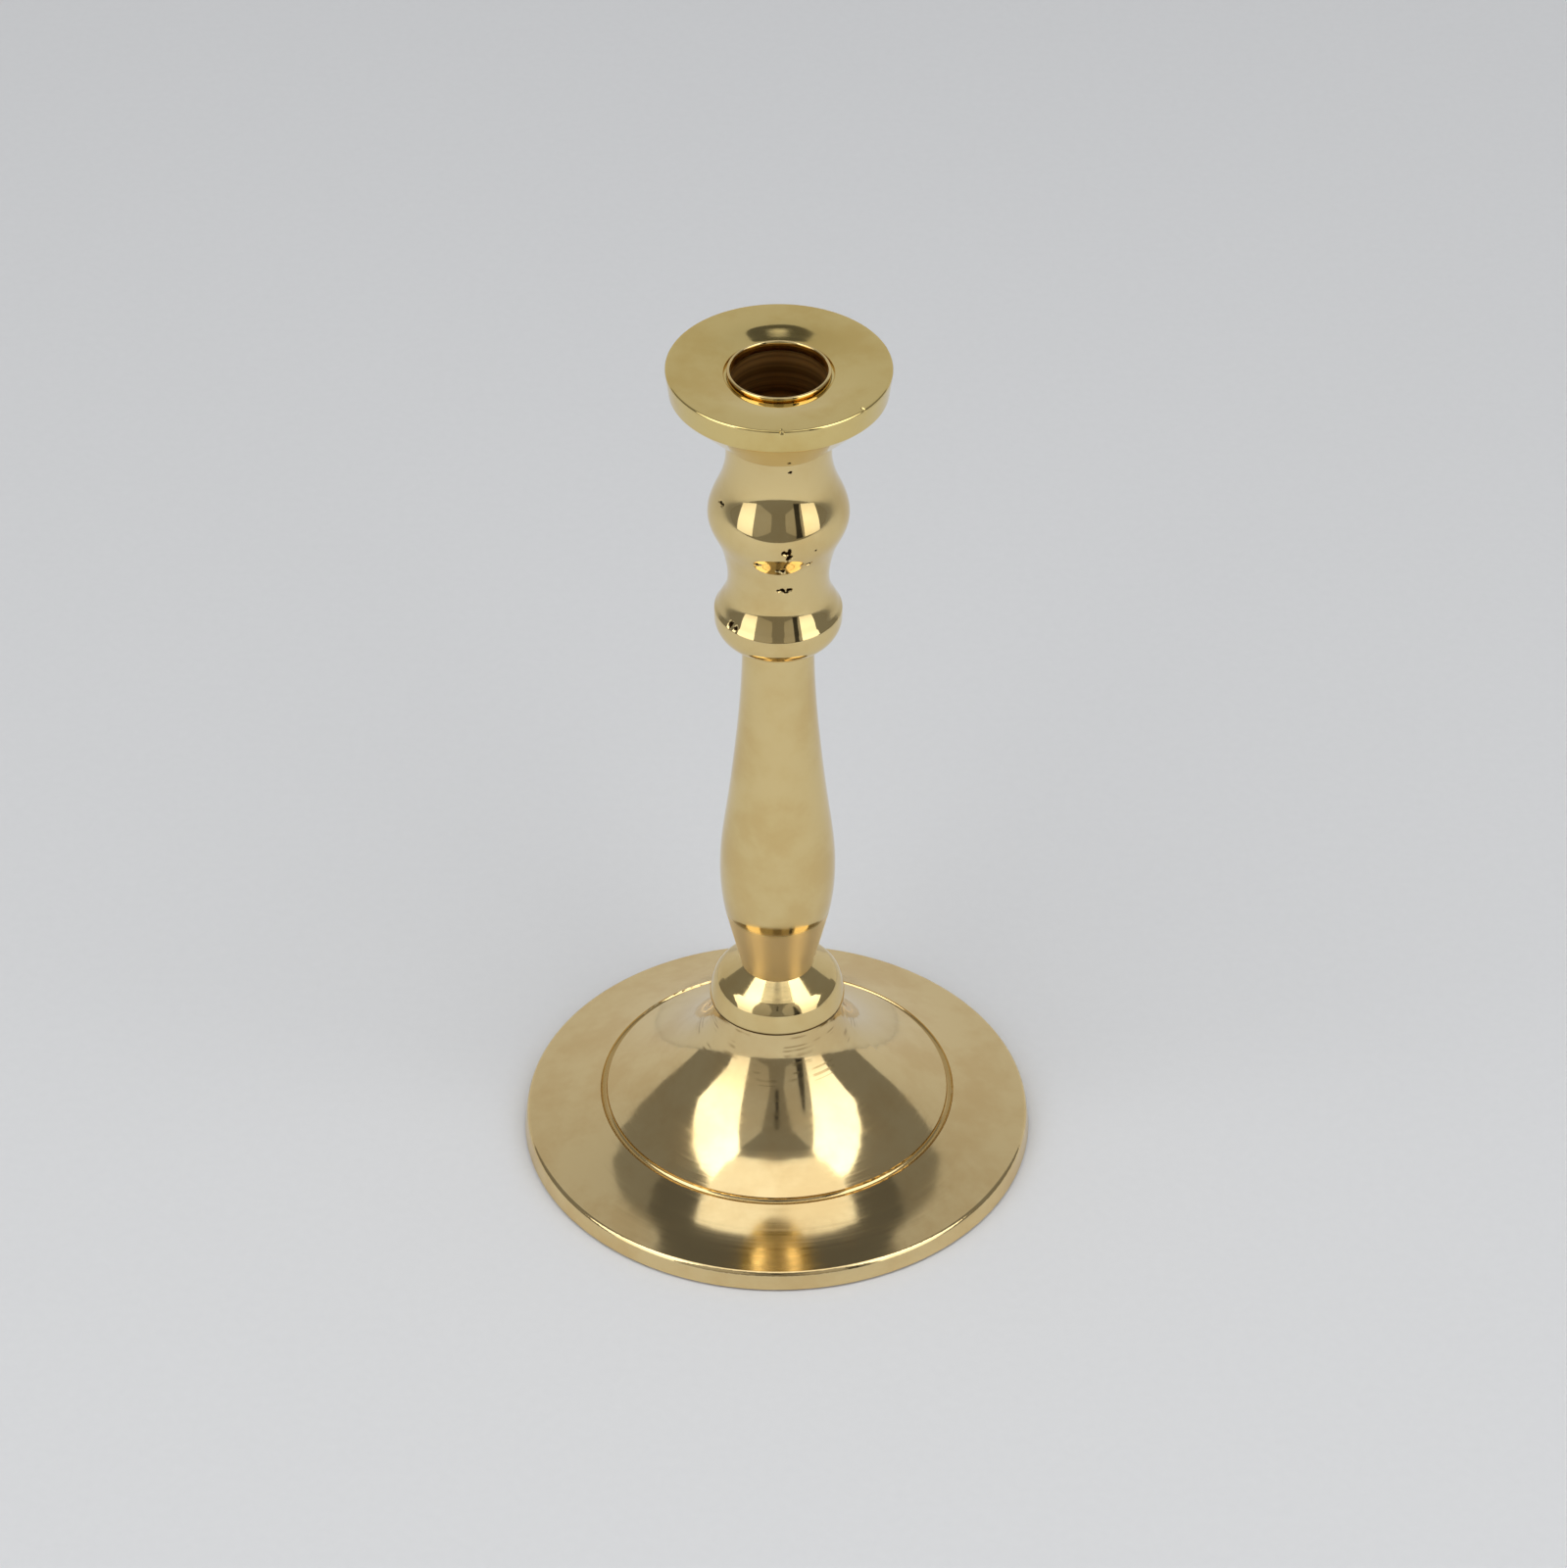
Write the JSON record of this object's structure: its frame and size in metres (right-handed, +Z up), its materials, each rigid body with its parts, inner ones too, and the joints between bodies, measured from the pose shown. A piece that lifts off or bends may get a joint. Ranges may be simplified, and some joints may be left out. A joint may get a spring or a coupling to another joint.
{
  "type": "taper candlestick",
  "caption": "Turned brass candlestick with a bell foot, a baluster stem, a bulb-shaped socket and a dished drip pan round a narrow candle bore.",
  "frame": {"origin": "centre of the foot, on the surface that the candlestick stands on", "axes": "+Z up along the turning axis, out of the candle bore; +X and +Y are free because the object is round"},
  "size_m": [0.074, 0.074, 0.1333],
  "materials": {
    "base_brass": "polished",
    "collar_brass": "polished",
    "stem_brass": "polished",
    "socket_brass": "polished, tarnished inside the bore",
    "pan_brass": "polished",
    "rod_steel": "rolled thread, bright zinc",
    "washer_steel": "stamped, bright zinc",
    "nut_steel": "machined, bright zinc"
  },
  "bodies": {
    "root": {"base": "base_brass", "foot_collar": "collar_brass", "stem": "stem_brass", "socket": "socket_brass", "drip_pan": "pan_brass", "tie_rod": "rod_steel", "washer": "washer_steel", "hex_nut": "nut_steel"}
  },
  "joints": []
}
